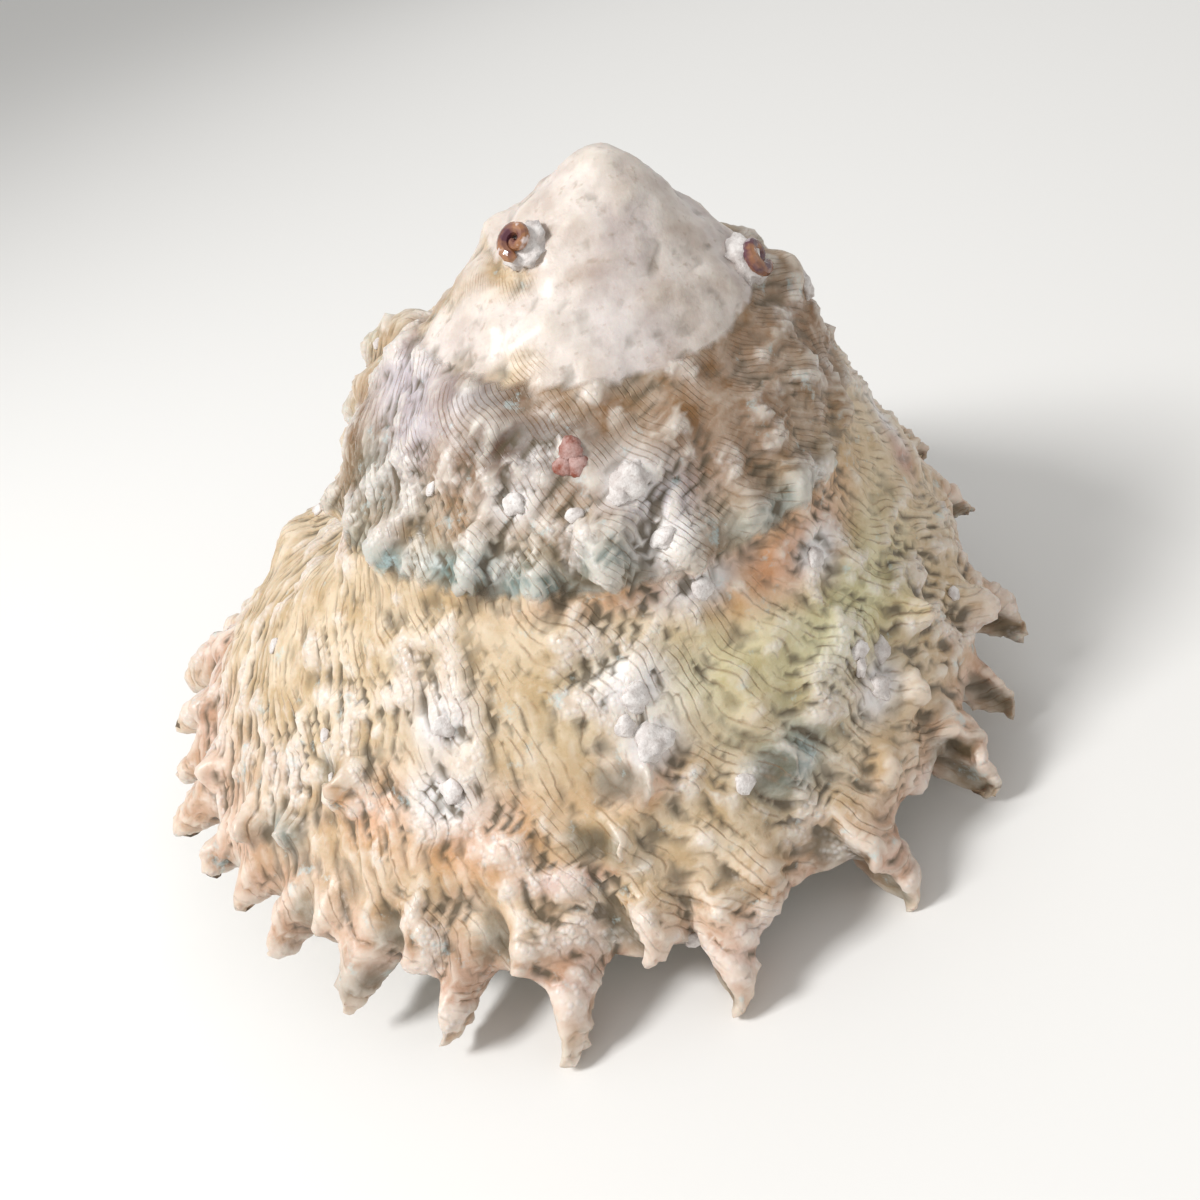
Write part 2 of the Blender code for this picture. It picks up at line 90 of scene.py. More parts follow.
def keel_depth(angle):
    """Depth of the keel below the tip."""
    def depth_of(radius):
        return SPIRE_SLOPE * radius + SPIRE_STEEPENING * radius * radius
    depth = depth_of(keel_radius(angle))
    start = depth_of(keel_radius(LEVEL_OFF_ANGLE))
    late = start + (depth - start) * LEVEL_OFF_SHARE
    return np.where(np.asarray(angle) > LEVEL_OFF_ANGLE, late, depth)


def wall_frame(angle):
    """Seam and keel of a turn in radius and depth, and the wall's outward direction."""
    seam = np.stack((keel_radius(angle - 360.0), keel_depth(angle - 360.0)), axis=-1)
    keel = np.stack((keel_radius(angle), keel_depth(angle)), axis=-1)
    run = keel - seam
    slope = np.linalg.norm(run, axis=-1)
    out = np.stack((run[..., 1], -run[..., 0]), axis=-1) / slope[..., None]
    return seam, keel, out, slope


def to_world(place):
    """From the coil's frame in millimetres to the room in metres."""
    return (STAND @ Vector(place) + Vector(SETTLE)) * MM


def wall_place(angle, level):
    """A point on the wall, in the room."""
    seam, keel, out, _ = wall_frame(np.float64(angle))
    swell = WALL_SWELL * keel[0] * math.sin(math.pi * level)
    radius, depth = seam + (keel - seam) * level + out * swell
    turn = math.radians(angle)
    return to_world((-radius * math.sin(turn), -radius * math.cos(turn), -depth))


def find_turns(points):
    """Turn angle, level and height over the plain wall of each point of an array."""
    stand = np.array(STAND)
    coil = (points / MM - np.array(SETTLE)) @ stand
    radius = np.hypot(coil[:, 0], coil[:, 1])
    around = np.degrees(np.arctan2(-coil[:, 0], -coil[:, 1]))
    best = np.full(len(points), 1e9)
    turn = np.zeros(len(points))
    level = np.zeros(len(points))
    height = np.zeros(len(points))
    for whorl in range(-OLDEST_TURNS, 2):
        angle = around + 360.0 * whorl
        seam, keel, out, slope = wall_frame(angle)
        offset = np.stack((radius, -coil[:, 2]), axis=-1) - seam
        down = np.einsum("ij,ij->i", offset, keel - seam) / slope ** 2
        swell = WALL_SWELL * keel[:, 0] * np.sin(np.pi * np.clip(down, 0.0, 1.0))
        rise = np.einsum("ij,ij->i", offset, out) - swell
        beyond = np.maximum(0.0, np.maximum(-down, down - 1.0)) * slope
        past_lip = angle + LIP_SLANT * down > LIP_ANGLE + 3.0
        miss = np.hypot(rise, beyond) + np.where(past_lip, 1e6, 0.0)
        closer = miss < best
        best = np.where(closer, miss, best)
        turn = np.where(closer, angle, turn)
        level = np.where(closer, down, level)
        height = np.where(closer, rise, height)
    return turn, level, height, radius


# %% [markdown]
# The shell itself starts from a copy of the part's own solid, so it has the same outline.
# The copy's loose triangles are merged, and a fine voxel remesh gives it an even skin that
# can carry low relief. A short smoothing removes the flat facets of the solid.

# %% Small helpers for modelling
def deselect():
    bpy.ops.object.select_all(action="DESELECT")


def make_active(thing):
    deselect()
    thing.select_set(True)
    bpy.context.view_layer.objects.active = thing


def apply_modifier(thing, name, kind, **settings):
    modifier = thing.modifiers.new(name, kind)
    for key, value in settings.items():
        setattr(modifier, key, value)
    make_active(thing)
    bpy.ops.object.modifier_apply(modifier=name)


def read_points(mesh):
    flat = np.empty(len(mesh.vertices) * 3)
    mesh.vertices.foreach_get("co", flat)
    return flat.reshape(-1, 3)


def read_normals(mesh):
    flat = np.empty(len(mesh.vertices) * 3)
    mesh.vertices.foreach_get("normal", flat)
    return flat.reshape(-1, 3)


def write_points(mesh, points):
    mesh.vertices.foreach_set("co", points.reshape(-1))
    mesh.update()


def read_edges(mesh):
    flat = np.empty(len(mesh.edges) * 2, dtype=np.int64)
    mesh.edges.foreach_get("vertices", flat)
    return flat.reshape(-1, 2)


def smooth_values(values, edges, rounds):
    """Averages each value with its neighbours', over and over."""
    count = len(values)
    links = np.bincount(edges.ravel(), minlength=count).astype(float)
    result = values.astype(float).copy()
    for _ in range(rounds):
        total = np.zeros_like(result)
        for axis in range(result.shape[1]):
            total[:, axis] = (
                np.bincount(edges[:, 0], weights=result[edges[:, 1], axis], minlength=count)
                + np.bincount(edges[:, 1], weights=result[edges[:, 0], axis], minlength=count)
            )
        result = 0.5 * result + 0.5 * total / np.maximum(links, 1.0)[:, None]
    return result


def noise_at(points, scale, seed):
    """Smooth noise from -1 to 1 at each point, with bumps about 1 / scale mm wide."""
    shift = Vector((seed * 7.3, seed * 3.1, seed * 5.7))
    scaled = points / MM * scale
    return np.array([noise.noise(Vector(place) + shift) for place in scaled])


# %% A fine skin from the part's solid
SKIN_VOXEL = 0.43
cad_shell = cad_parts["shell"]
shell_mesh = cad_shell.data.copy()
shell = bpy.data.objects.new("shell_surface", shell_mesh)
bpy.context.scene.collection.objects.link(shell)
make_active(shell)
bpy.ops.object.mode_set(mode="EDIT")
bpy.ops.mesh.select_all(action="SELECT")
bpy.ops.mesh.remove_doubles(threshold=0.000001)
bpy.ops.object.mode_set(mode="OBJECT")
apply_modifier(shell, "skin", "REMESH", mode="VOXEL", voxel_size=SKIN_VOXEL * MM)
apply_modifier(shell, "ease", "SMOOTH", factor=0.5, iterations=4)
print("points in the skin", len(shell.data.vertices))

# %% [markdown]
# On the real shell each spine is a scoop: the lip of the mouth was folded up there for a
# while, and then closed again. Its open side faces the way the shell grew. The scoops are
# deepened here by moving the points of the skin, which leaves thin edges round them.

# %% Spines of the keel: turn angle, length, half width
SPINES = (
    (-112, 3.0, 1.6), (-99, 3.4, 1.5), (-77, 4.3, 2.0), (-64, 4.2, 1.8), (-51, 4.4, 2.2),
    (-33, 4.6, 2.1), (-10.5, 4.4, 2.7), (8, 5.2, 2.4), (21, 4.3, 2.2), (33, 3.9, 2.1),
    (45, 3.1, 1.8), (54, 2.5, 1.4), (62, 2.7, 1.4), (71, 3.3, 1.6), (81, 2.8, 1.5),
    (92, 3.8, 1.5), (101, 3.5, 1.9), (112, 3.4, 1.7), (124, 3.5, 1.6), (137, 3.3, 1.6),
    (150, 3.4, 1.7), (162, 3.6, 1.7),
)
SPINE_DROOP = 34.0
# Upper knobs: turn angle, level, length, half width, rise
KNOBS = (
    (-53, 0.94, 2.8, 1.5, 0), (-30, 0.90, 2.8, 2.0, -8), (-16, 0.86, 2.2, 2.2, -5),
    (-2, 0.87, 2.8, 1.9, -8), (13, 0.86, 2.8, 2.1, -12), (26, 0.87, 2.8, 1.9, -8),
    (39, 0.91, 2.4, 1.8, -5), (42, 0.56, 2.0, 1.7, 30), (-2, 0.50, 1.6, 1.7, 40),
    (2, 0.64, 1.8, 1.6, 30), (-23, 0.60, 1.4, 1.6, 40),
)
SCOOP_DEPTH = 0.85


def spine_axes(angle, rise):
    """The way a spine points and the way the shell grows there, in the room."""
    turn = math.radians(angle)
    tilt = math.radians(rise)
    out = Vector((-math.sin(turn), -math.cos(turn), 0.0)) * math.cos(tilt)
    out.z = math.sin(tilt)
    forward = Vector((-math.cos(turn), math.sin(turn), 0.0))
    return STAND @ out, STAND @ forward


def deepen_scoop(points, hollow, angle, level, length, half_width, rise, depth):
    """Pushes in the forward side of one spine and notes how deep it went."""
    base = np.array(wall_place(angle, level))
    direction, forward = (np.array(axis) for axis in spine_axes(angle, rise))
    across = np.cross(direction, forward)
    away = (points - base) / MM
    along = away @ direction / length
    side = away @ across / half_width
    ahead = away @ forward
    window = np.clip(1.0 - (side / 0.78) ** 2, 0.0, 1.0)
    window *= np.clip((along + 0.35) / 0.3, 0.0, 1.0)
    window *= np.clip((0.93 - along) / 0.18, 0.0, 1.0)
    window *= np.clip((ahead + 0.5) / 0.5, 0.0, 1.0)
    window *= (ahead < 2.6) * (np.abs(along) < 1.0)
    points -= np.outer(window * depth * MM, forward)
    np.maximum(hollow, window, out=hollow)


points = read_points(shell.data)
hollow = np.zeros(len(points))
for angle, length, half_width in SPINES:
    deepen_scoop(points, hollow, angle, 1.0, length, half_width, -SPINE_DROOP, SCOOP_DEPTH)
for angle, level, length, half_width, rise in KNOBS:
    deepen_scoop(points, hollow, angle, level, length, half_width, rise, SCOOP_DEPTH * 0.6)
write_points(shell.data, points)
print("points in the scoops", int((hollow > 0.3).sum()))

# %% [markdown]
# The wall is covered with growth lines, the old edges of the lip. They run slantwise from
# the seam to the keel, so they follow turn angle plus a slant times level. They are raised
# as thin leaves with uneven spacing, stronger where the shell is frilled, and a rough crust
# of small lumps lies over them in places.

# %% Fine relief of the wall
LEAF_SPACING = 3.1
LEAF_HEIGHT = 0.24
LUMP_HEIGHT = 0.30
CRUST_HEIGHT = 0.34

points = read_points(shell.data)
normals = read_normals(shell.data)
turn, level, height, radius = find_turns(points)
inside = np.clip((-height - 0.75) / 0.5, 0.0, 1.0) * (level > 0.02) * (level < 1.05) * (turn > -110.0)
away = (points / MM - np.array(SETTLE)) @ np.array(STAND)
away[:, 2] = 0.0
away = away @ np.array(STAND).T
inside *= np.einsum("ij,ij->i", normals, away) < 0.0
growth = turn + LIP_SLANT * np.clip(level, 0.0, 1.3)
broad = noise_at(points, 0.22, 1)
middle = noise_at(points, 0.55, 2)
small = noise_at(points, 1.15, 3)
tiny = noise_at(points, 2.1, 4)
phase = growth / LEAF_SPACING + 1.5 * broad + 0.7 * middle
wave = phase - np.floor(phase)
leaf = np.where(wave < 0.72, wave / 0.72, (1.0 - wave) / 0.28)
young = np.clip((turn + 700.0) / 350.0, 0.0, 1.0)
frilled = 0.35 + 0.65 * np.clip(0.5 + 1.3 * broad + 0.9 * np.clip(level, 0.0, 1.0) - 0.35, 0.0, 1.0)
crust = np.clip((0.6 * broad + 0.7 * middle + 0.35 * small - 0.10) * 3.0, 0.0, 1.0)
crust *= np.clip((turn + 640.0) / 120.0, 0.0, 1.0)
relief = LEAF_HEIGHT * (leaf - 0.45) * frilled * young
relief += LUMP_HEIGHT * middle * (0.25 + 0.75 * young)
relief += CRUST_HEIGHT * crust * (0.25 + 0.9 * np.abs(small) + 0.5 * np.abs(tiny))
oldest = np.clip((-520.0 - turn) / 110.0, 0.0, 1.0)
relief += oldest * (0.16 * middle + 0.09 * small + 0.05 * tiny)
relief *= 1.0 - 0.85 * inside
relief *= 1.0 - 0.6 * hollow
flat_foot = points[:, 2] < 0.35 * MM
relief[flat_foot] = 0.0
points += normals * (relief * MM)[:, None]
low, high = np.array(CAD_BOX[0]), np.array(CAD_BOX[1])
points = np.clip(points, low + 0.00002, high - 0.00002)
resting = flat_foot & (points[:, 2] < 0.1 * MM)
points[resting, 2] = 0.0
write_points(shell.data, points)
print("relief from", round(float(relief.min()), 2), "to", round(float(relief.max()), 2), "mm")

# %% [markdown]
# Colour on a shell like this comes from growth, wear and what has grown on it. The broad
# colours are laid on as soft spots named by their place on the coil, and the
# hollows and crests are found from the mesh itself: a point that lies under the average of
# its neighbours is in a hollow. The hollows are darkened with painted shade, and two thin
# dark brown spots along the seams are painted shadow.

# %% Broad colours
CREAM = (0.62, 0.45, 0.25)
CHALK = (0.70, 0.61, 0.55)
GOLDEN_BROWN = (0.25, 0.115, 0.03)
DARK_BROWN = (0.075, 0.035, 0.018)
OLIVE = (0.10, 0.095, 0.05)
TEAL = (0.12, 0.21, 0.20)
PINK_TAN = (0.58, 0.32, 0.22)
RUST = (0.42, 0.13, 0.035)
ORANGE = (0.60, 0.23, 0.05)
YELLOW_GREEN = (0.62, 0.57, 0.28)
LAVENDER = (0.52, 0.47, 0.52)
WHITE_CRUST = (0.80, 0.76, 0.75)
NACRE = (0.66, 0.68, 0.60)
# Colour, turn angle, level, half length along the coil and half width in mm, strength
SPOTS = (
    (PINK_TAN, -20, 1.0, 60.0, 3.2, 0.55), (PINK_TAN, 95, 0.85, 22.0, 4.0, 0.55),
    (YELLOW_GREEN, -42, 0.35, 6.0, 3.5, 0.7), (YELLOW_GREEN, -18, 0.25, 6.0, 3.0, 0.45),
    (ORANGE, -36, 0.10, 5.0, 2.0, 0.75), (ORANGE, 20, 0.62, 4.0, 2.5, 0.5),
    (ORANGE, 36, 0.60, 2.5, 2.0, 0.55), (ORANGE, -2, 0.50, 2.0, 1.2, 0.6),
    (ORANGE, -8, 0.03, 6.0, 0.8, 0.5), (RUST, -84, 0.35, 1.6, 1.6, 0.8), (RUST, 8, 0.72, 2.2, 0.7, 0.8),
    (GOLDEN_BROWN, -392, 0.40, 6.0, 4.0, 0.8), (GOLDEN_BROWN, -330, 0.35, 5.0, 3.5, 0.8),
    (GOLDEN_BROWN, -290, 0.55, 4.0, 4.0, 0.7), (GOLDEN_BROWN, -440, 0.55, 4.0, 4.0, 0.8),
    (GOLDEN_BROWN, -405, 0.15, 5.0, 1.5, 0.7), (DARK_BROWN, -340, 0.28, 3.6, 1.8, 0.85),
    # The dark brown spots at -322 and -345 on the next line are painted shadow: thin dark lines along the
    # seams, where a keel overhangs.
    (DARK_BROWN, -322, 0.08, 2.0, 1.0, 0.8), (DARK_BROWN, -345, 1.03, 3.6, 0.8, 0.85),
    (OLIVE, -298, 0.62, 3.0, 3.0, 0.6), (OLIVE, 34, 1.05, 3.0, 1.2, 0.7),
    (TEAL, -312, 0.96, 2.4, 1.2, 0.75), (TEAL, -330, 0.90, 2.4, 1.2, 0.75),
    (TEAL, -344, 0.94, 2.4, 1.2, 0.7), (TEAL, -360, 0.84, 2.2, 1.2, 0.6),
    (TEAL, -24, 0.60, 2.4, 1.8, 0.75), (TEAL, 50, 0.78, 1.6, 1.2, 0.7),
    (TEAL, -395, 0.92, 4.0, 1.0, 0.5), (LAVENDER, -290, 0.18, 4.0, 2.6, 0.7),
    (LAVENDER, -306, 0.30, 2.0, 2.4, 0.6), (LAVENDER, -370, 0.62, 2.0, 1.2, 0.7),
    (WHITE_CRUST, -2, 0.25, 1.8, 1.4, 0.9), (WHITE_CRUST, -4, 0.40, 1.6, 1.4, 0.9),
    (WHITE_CRUST, 28, 0.33, 1.6, 1.6, 0.9), (WHITE_CRUST, 26, 0.52, 2.2, 1.6, 0.8),
    (WHITE_CRUST, -42, 0.60, 1.6, 1.4, 0.9), (WHITE_CRUST, -42, 0.15, 1.6, 1.2, 0.9),
    (WHITE_CRUST, -370, 0.80, 1.6, 1.2, 0.9), (WHITE_CRUST, -364, 0.48, 1.8, 1.2, 0.9),
    (WHITE_CRUST, -16, 0.05, 2.0, 1.0, 0.8), (WHITE_CRUST, -90, 0.28, 2.0, 2.0, 0.6),
    (WHITE_CRUST, -338, 0.55, 1.2, 1.0, 0.8),
)


def add_spot(tint, colour, strength):
    """Lays one colour over the tint, by a strength for each point."""
    return tint + (np.array(colour) - tint) * strength[:, None]


edges = read_edges(shell.data)
points = read_points(shell.data)
normals = read_normals(shell.data)
near_mean = smooth_values(points, edges, 5)
wide_mean = smooth_values(near_mean, edges, 24)
fine_cavity = np.einsum("ij,ij->i", near_mean - points, normals) / MM
wide_cavity = np.einsum("ij,ij->i", wide_mean - points, normals) / MM
_, _, _, slope = wall_frame(turn)
tint = np.tile(np.array(CREAM), (len(points), 1))
old = np.clip((-520.0 - turn + 170.0 * broad + 90.0 * middle) / 110.0, 0.0, 1.0)
between = np.clip((-200.0 - turn) / 60.0, 0.0, 1.0) * (1.0 - old)
tint = add_spot(tint, GOLDEN_BROWN, between * np.clip(0.62 + 0.9 * middle, 0.0, 0.92))
tint = add_spot(tint, TEAL, between * np.clip(1.3 * broad - 0.1 * small, 0.0, 0.75))
tint = add_spot(tint, CHALK, old)
tint = add_spot(tint, GOLDEN_BROWN, old * np.clip(0.7 * middle - 0.10, 0.0, 0.30))
tint = add_spot(tint, LAVENDER, old * np.clip(0.8 * broad, 0.0, 0.30))
tint = add_spot(tint, PINK_TAN, np.clip(-0.35 + 0.9 * broad + 0.5 * middle, 0.0, 0.35) * (1.0 - old))
for colour, at, low_level, along, across, strength in SPOTS:
    gone = np.radians(turn - at) * radius / along
    down = (level - low_level) * slope / across
    ragged = 1.0 + 0.5 * middle + 0.35 * small
    reach = np.exp(-(gone ** 2 + down ** 2) * ragged)
    share = np.clip(strength * reach * 1.6, 0.0, 1.0) * (np.abs(turn - at) < 170.0)
    tint = add_spot(tint, colour, share)
tint = add_spot(tint, WHITE_CRUST, crust * 0.30 * (1.0 - inside))
tint = add_spot(tint, PINK_TAN, np.clip(-wide_cavity * 0.8 - 0.12, 0.0, 0.45) * (turn > -130.0))
# Painted shade: the olive on this line darkens the wide hollows, and the olive on the next line darkens the
# open sides of the spine scoops.
tint = add_spot(tint, OLIVE, np.clip(wide_cavity * 1.3 - 0.12, 0.0, 0.85) * (1.0 - inside))
tint = add_spot(tint, OLIVE, hollow * 0.75)
tint = add_spot(tint, NACRE, inside)
print("deepest hollow", round(float(wide_cavity.max()), 2), "mm")


def store(mesh, name, values):
    """Keeps one number for each point, for the material to read."""
    layer = mesh.attributes.new(name, "FLOAT", "POINT")
    layer.data.foreach_set("value", values.astype(np.float32))


store(shell.data, "growth", phase)
store(shell.data, "cavity", np.clip(0.5 + fine_cavity * 3.5, 0.0, 1.0))
store(shell.data, "crust", crust * (1.0 - inside))
store(shell.data, "nacre", inside)
store(shell.data, "old", old)
layer = shell.data.attributes.new("tint", "FLOAT_COLOR", "POINT")
layer.data.foreach_set("color", np.column_stack((tint, np.ones(len(tint)))).astype(np.float32).ravel())
shell.data.materials.clear()
shell.data.shade_smooth()

# %% [markdown]
# One material covers the whole shell. A small kit of functions builds its nodes, and one
# node group holds the mottling and the fine grain, because the crust lumps use them too.

# %% Node helpers
def new_material(name):
    material = bpy.data.materials.new(name)
    material.use_nodes = True
    tree = material.node_tree
    return material, tree, tree.nodes["Principled BSDF"]


def add_node(tree, kind, inputs=None, **settings):
    node = tree.nodes.new(kind)
    for key, value in settings.items():
        setattr(node, key, value)
    for key, value in (inputs or {}).items():
        if isinstance(value, bpy.types.NodeSocket):
            tree.links.new(value, node.inputs[key])
        else:
            node.inputs[key].default_value = value
    return node


def mix_colour(tree, share, first, second, blend="MIX"):
    node = tree.nodes.new("ShaderNodeMix")
    node.data_type = "RGBA"
    node.blend_type = blend
    for slot, value in ((0, share), (6, first), (7, second)):
        if isinstance(value, bpy.types.NodeSocket):
            tree.links.new(value, node.inputs[slot])
        else:
            node.inputs[slot].default_value = value if slot == 0 else (*value, 1.0)
    return node.outputs[2]


def remap(tree, value, low_in, high_in, low_out=0.0, high_out=1.0):
    node = add_node(tree, "ShaderNodeMapRange", {
        "Value": value, "From Min": low_in, "From Max": high_in,
        "To Min": low_out, "To Max": high_out})
    return node.outputs["Result"]


def combine(tree, kind, first, second):
    return add_node(tree, "ShaderNodeMath", {0: first, 1: second}, operation=kind).outputs[0]


# %% The group for mottling and grain
def make_mottle_group():
    """Uneven colour and a fine grain, from the place on the piece alone."""
    group = bpy.data.node_groups.new("shell mottling", "ShaderNodeTree")
    for name, kind, way in (("Colour", "NodeSocketColor", "INPUT"), ("Scale", "NodeSocketFloat", "INPUT"),
                            ("Strength", "NodeSocketFloat", "INPUT"), ("Colour", "NodeSocketColor", "OUTPUT"),
                            ("Height", "NodeSocketFloat", "OUTPUT")):
        group.interface.new_socket(name, in_out=way, socket_type=kind)
    start = group.nodes.new("NodeGroupInput")
    end = group.nodes.new("NodeGroupOutput")
    place = add_node(group, "ShaderNodeTexCoord").outputs["Object"]
    coarse = add_node(group, "ShaderNodeTexNoise", {
        "Vector": place, "Scale": start.outputs["Scale"], "Detail": 6.0, "Roughness": 0.62})
    fine_scale = combine(group, "MULTIPLY", start.outputs["Scale"], 5.0)
    fine = add_node(group, "ShaderNodeTexNoise", {"Vector": place, "Scale": fine_scale, "Detail": 4.0})
    light = mix_colour(group, start.outputs["Strength"], start.outputs["Colour"], (0.92, 0.88, 0.82))
    dark = mix_colour(group, start.outputs["Strength"], start.outputs["Colour"], (0.20, 0.11, 0.05))
    share = remap(group, coarse.outputs["Fac"], 0.38, 0.62)
    spread = mix_colour(group, share, dark, light)
    speck = remap(group, fine.outputs["Fac"], 0.60, 0.72, 0.0, 0.35)
    spread = mix_colour(group, speck, spread, (0.27, 0.17, 0.09))
    group.links.new(spread, end.inputs["Colour"])
    height = combine(group, "ADD", coarse.outputs["Fac"], combine(group, "MULTIPLY", fine.outputs["Fac"], 0.5))
    group.links.new(height, end.inputs["Height"])
    return group


MOTTLING = make_mottle_group()


def add_mottling(tree, colour, scale, strength):
    node = add_node(tree, "ShaderNodeGroup", node_tree=MOTTLING)
    if isinstance(colour, bpy.types.NodeSocket):
        tree.links.new(colour, node.inputs["Colour"])
    else:
        node.inputs["Colour"].default_value = (*colour, 1.0)
    node.inputs["Scale"].default_value = scale
    node.inputs["Strength"].default_value = strength
    return node.outputs["Colour"], node.outputs["Height"]


# %% The shell's material
def make_shell_material():
    material, tree, surface = new_material("worn shell")
    def read(name):
        return add_node(tree, "ShaderNodeAttribute", attribute_name=name)
    tint_colour = read("tint").outputs["Color"]
    growth_line = read("growth").outputs["Fac"]
    cavity = read("cavity").outputs["Fac"]
    crusted = read("crust").outputs["Fac"]
    pearl = read("nacre").outputs["Fac"]
    chalk = read("old").outputs["Fac"]
    colour, grain = add_mottling(tree, tint_colour, 420.0, 0.24)
    place = add_node(tree, "ShaderNodeTexCoord").outputs["Object"]
    wobble = add_node(tree, "ShaderNodeTexNoise", {"Vector": place, "Scale": 700.0, "Detail": 3.0})
    line = combine(tree, "MULTIPLY", growth_line, 3.0)
    line = combine(tree, "ADD", line, combine(tree, "MULTIPLY", wobble.outputs["Fac"], 1.6))
    line = add_node(tree, "ShaderNodeMath", {0: line, 1: 1.0}, operation="PINGPONG").outputs[0]
    thin = remap(tree, line, 0.0, 0.30, 1.0, 0.0)
    broken = remap(tree, wobble.outputs["Fac"], 0.42, 0.62)
    fresh = combine(tree, "SUBTRACT", 1.0, chalk)
    thin = combine(tree, "MULTIPLY", thin, broken)
    thin = combine(tree, "MULTIPLY", thin, combine(tree, "MULTIPLY", fresh, 0.60))
    colour = mix_colour(tree, thin, colour, (0.26, 0.14, 0.06))
    # Painted shade: fine hollows are darkened, less so inside the mouth. Painted highlight: crests are made
    # paler.
    deep = remap(tree, cavity, 0.53, 0.85, 0.0, 0.88)
    deep = combine(tree, "MULTIPLY", deep, remap(tree, pearl, 0.0, 1.0, 1.0, 0.2))
    colour = mix_colour(tree, deep, colour, (0.10, 0.07, 0.035))
    crest = remap(tree, cavity, 0.44, 0.12, 0.0, 0.42)
    colour = mix_colour(tree, crest, colour, (0.86, 0.80, 0.70))
    grit = add_node(tree, "ShaderNodeTexVoronoi", {"Vector": place, "Scale": 2600.0})
    grains = remap(tree, grit.outputs["Distance"], 0.15, 0.55, 1.0, 0.0)
    white = combine(tree, "MULTIPLY", crusted, remap(tree, grains, 0.0, 1.0, 0.05, 0.45))
    colour = mix_colour(tree, white, colour, (0.84, 0.80, 0.78))
    glints = add_node(tree, "ShaderNodeTexNoise", {
        "Vector": place, "Scale": 520.0, "Detail": 5.0, "Roughness": 0.7})
    glint = combine(tree, "MULTIPLY", remap(tree, glints.outputs["Fac"], 0.60, 0.70, 0.0, 0.5), fresh)
    colour = mix_colour(tree, glint, colour, (0.50, 0.66, 0.68))
    tree.links.new(colour, surface.inputs["Base Color"])
    rough = remap(tree, grain, 0.5, 1.0, 0.34, 0.66)
    rough = combine(tree, "SUBTRACT", rough, combine(tree, "MULTIPLY", pearl, 0.22))
    tree.links.new(rough, surface.inputs["Roughness"])
    surface.inputs["Coat Weight"].default_value = 0.18
    surface.inputs["Coat Roughness"].default_value = 0.22
    surface.inputs["Subsurface Weight"].default_value = 0.06
    surface.inputs["Subsurface Scale"].default_value = 0.0012
    relief_sum = combine(tree, "MULTIPLY", grain, 0.6)
    relief_sum = combine(tree, "ADD", relief_sum, combine(tree, "MULTIPLY", thin, -0.8))
    relief_sum = combine(tree, "ADD", relief_sum, combine(tree, "MULTIPLY", white, 0.9))
    bump = add_node(tree, "ShaderNodeBump", {"Height": relief_sum, "Strength": 0.55, "Distance": 0.00022})
    tree.links.new(bump.outputs["Normal"], surface.inputs["Normal"])
    return material


shell.data.materials.append(make_shell_material())
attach(shell, "root")
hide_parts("shell")
print("triangles", sum(len(face.vertices) - 2 for face in shell.data.polygons))

# %% [markdown]
# Small hard growths sit on the wall: white crust lumps and one red crust. Each is an
# icosphere that is squashed, roughened and set on the skin. They are joined by colour, so
# there are only two pieces.

# %% Crust lumps: turn angle, level, size in mm
WHITE_LUMPS = (
    (-2, 0.27, 0.75), (-4, 0.40, 0.95), (0, 0.34, 0.60), (28, 0.33, 0.70), (25, 0.50, 0.65),
    (-42, 0.60, 0.75), (-41, 0.16, 0.60), (-370, 0.80, 0.70), (-364, 0.48, 0.95),
    (-361, 0.55, 0.60), (-16, 0.06, 0.60), (-338, 0.55, 0.60), (-318, 0.55, 0.45),
    (-352, 0.62, 0.45), (-450, 0.30, 0.80), (-8, 0.93, 0.70),
    (-1030, 0.62, 1.25), (-801, 0.80, 1.35),
)
RED_LUMPS = ((-350, 0.28, 0.62), (-351.5, 0.36, 0.55), (-348.5, 0.36, 0.50))
BACK_LUMP_COUNT = 16


def make_lump(angle, level, size, draw):
    """One squashed, roughened lump, seated a little way into the skin."""
    target = wall_place(angle, level)
    _, spot, normal, _ = shell.closest_point_on_mesh(target)
    deselect()
    bpy.ops.mesh.primitive_ico_sphere_add(subdivisions=3, radius=size * MM, location=(0.0, 0.0, 0.0))
    lump = bpy.context.object
    shift = Vector((draw.uniform(-40.0, 40.0), draw.uniform(-40.0, 40.0), draw.uniform(-40.0, 40.0)))
    turned = normal.to_track_quat("Z", "Y").to_matrix()
    for vertex in lump.data.vertices:
        rough = noise.noise(vertex.co / MM * 1.6 + shift) * 0.45
        rough += noise.noise(vertex.co / MM * 4.5 + shift) * 0.22
        place = vertex.co * (1.0 + rough)
        place.z *= 0.55
        vertex.co = turned @ place + spot + normal * (size * MM * 0.05)
    return lump


def join_lumps(name, places, seed, colour):
    draw = random.Random(seed)
    lumps = [make_lump(angle, level, size, draw) for angle, level, size in places]
    deselect()
    for lump in lumps:
        lump.select_set(True)
    bpy.context.view_layer.objects.active = lumps[0]
    bpy.ops.object.join()
    piece = bpy.context.object
    piece.name = name
    piece.data.name = name
    piece.data.shade_smooth()
    material, tree, surface = new_material(name + " finish")
    mottled, grain = add_mottling(tree, colour, 1500.0, 0.35)
    tree.links.new(mottled, surface.inputs["Base Color"])
    surface.inputs["Roughness"].default_value = 0.6
    bump = add_node(tree, "ShaderNodeBump", {"Height": grain, "Strength": 0.5, "Distance": 0.0002})
    tree.links.new(bump.outputs["Normal"], surface.inputs["Normal"])
    piece.data.materials.append(material)
    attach(piece, "root")
    print(name, len(piece.data.vertices), "points")
    return piece


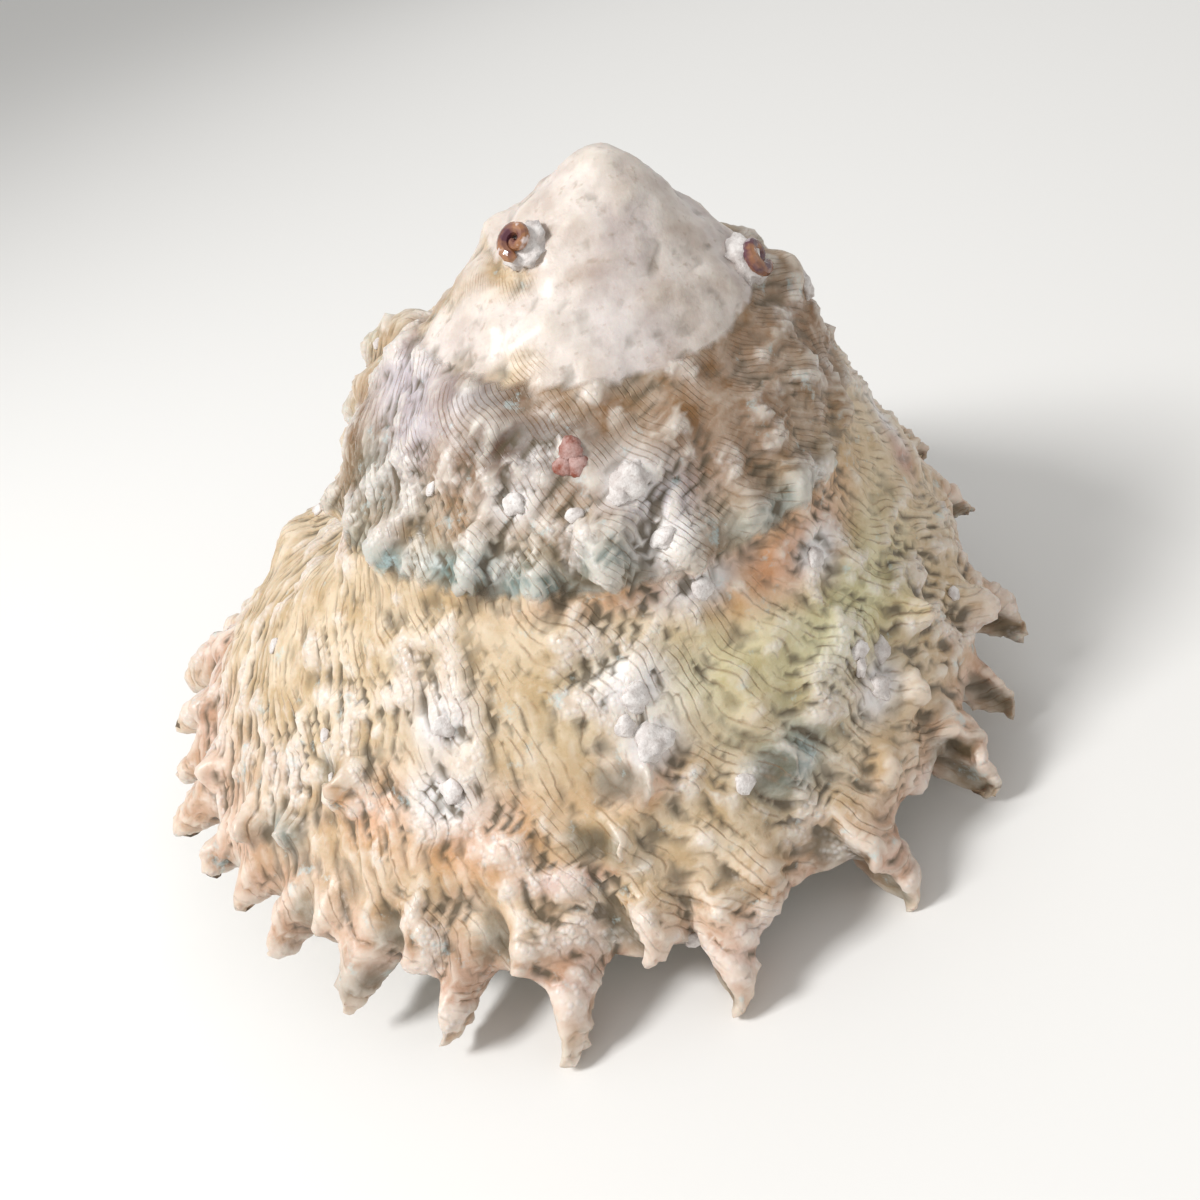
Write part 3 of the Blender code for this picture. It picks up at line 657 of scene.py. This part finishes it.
draw = random.Random(11)
back_lumps = tuple((draw.uniform(-250.0, 200.0), draw.uniform(0.2, 0.8), draw.uniform(0.35, 0.7))
                   for _ in range(BACK_LUMP_COUNT))
join_lumps("white_crust", WHITE_LUMPS + back_lumps, 3, WHITE_CRUST)
join_lumps("red_crust", RED_LUMPS, 5, (0.30, 0.045, 0.03))

# %% [markdown]
# Two small worm snails are glued to the old top of the coil. Their tubes are the part's own
# solids, which have the right shape, so they only get a finish: glossy purple-brown bands
# with amber between them.

# %% Worm snails
def make_worm_material():
    material, tree, surface = new_material("worm snail glaze")
    place = add_node(tree, "ShaderNodeTexCoord").outputs["Object"]
    bands = add_node(tree, "ShaderNodeTexNoise", {"Vector": place, "Scale": 900.0, "Detail": 3.0})
    share = remap(tree, bands.outputs["Fac"], 0.42, 0.58)
    colour = mix_colour(tree, share, (0.10, 0.03, 0.045), (0.33, 0.15, 0.07))
    pale = remap(tree, bands.outputs["Fac"], 0.62, 0.68, 0.0, 0.8)
    colour = mix_colour(tree, pale, colour, (0.78, 0.68, 0.66))
    tree.links.new(colour, surface.inputs["Base Color"])
    surface.inputs["Roughness"].default_value = 0.22
    surface.inputs["Coat Weight"].default_value = 0.5
    surface.inputs["Coat Roughness"].default_value = 0.08
    bump = add_node(tree, "ShaderNodeBump", {
        "Height": bands.outputs["Fac"], "Strength": 0.4, "Distance": 0.0001})
    tree.links.new(bump.outputs["Normal"], surface.inputs["Normal"])
    return material


worm_finish = make_worm_material()
for name in ("worm_snail_left", "worm_snail_right"):
    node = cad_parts[name]
    node.data.materials.clear()
    node.data.materials.append(worm_finish)
print("worm snails finished")

# %% [markdown]
# The shell stands on a plain pale floor in soft light from the upper left, with a weaker
# light from the right and one behind, so that every side can be looked at.

# %% Floor, light and camera
FLOOR_SIZE = 8.0
deselect()
bpy.ops.mesh.primitive_plane_add(size=FLOOR_SIZE, location=(0.0, 0.0, 0.0))
floor = bpy.context.object
floor.name = "floor"
floor_finish, _, floor_surface = new_material("pale floor")
floor_surface.inputs["Base Color"].default_value = (0.82, 0.81, 0.79, 1.0)
floor_surface.inputs["Roughness"].default_value = 0.7
floor.data.materials.append(floor_finish)

world = bpy.data.worlds.new("soft room")
bpy.context.scene.world = world
world.use_nodes = True
world.node_tree.nodes["Background"].inputs["Color"].default_value = (0.97, 0.97, 0.96, 1.0)
world.node_tree.nodes["Background"].inputs["Strength"].default_value = 0.52
bpy.context.scene.view_settings.view_transform = "Standard"

LAMPS = (
    ("key", (-0.17, -0.10, 0.24), 0.08, 0.78), ("fill", (0.22, -0.20, 0.14), 0.20, 0.08),
    ("rear", (0.05, 0.24, 0.20), 0.16, 0.12),
)
for name, place, size, power in LAMPS:
    lamp = bpy.data.lights.new(name, "AREA")
    lamp.size = size
    lamp.energy = power
    holder = bpy.data.objects.new(name, lamp)
    holder.location = place
    holder.rotation_euler = (Vector((0.0, 0.0, 0.015)) - Vector(place)).to_track_quat("-Z", "Y").to_euler()
    bpy.context.scene.collection.objects.link(holder)

CAMERA_TILT = 43.114
CAMERA_ROLL = 2.58
CAMERA_DISTANCE = 86.67
CAMERA_LENS = 39.0
CAMERA_AIM = Vector((-0.893, 0.0, -31.764))
tilt = math.radians(CAMERA_TILT)
roll = math.radians(CAMERA_ROLL)
right = Vector((1.0, 0.0, 0.0))
up = Vector((0.0, math.sin(tilt), math.cos(tilt)))
back = Vector((0.0, -math.cos(tilt), math.sin(tilt)))
picture_right = right * math.cos(roll) - up * math.sin(roll)
picture_up = right * math.sin(roll) + up * math.cos(roll)
axes = STAND @ Matrix((picture_right, picture_up, back)).transposed()
camera_data = bpy.data.cameras.new("camera")
camera_data.lens = CAMERA_LENS
camera_data.sensor_width = 36.0
camera_data.clip_start = 0.002
camera = bpy.data.objects.new("camera", camera_data)
camera.matrix_world = Matrix.Translation(to_world(CAMERA_AIM + back * CAMERA_DISTANCE)) @ axes.to_4x4()
bpy.context.scene.collection.objects.link(camera)
bpy.context.scene.camera = camera
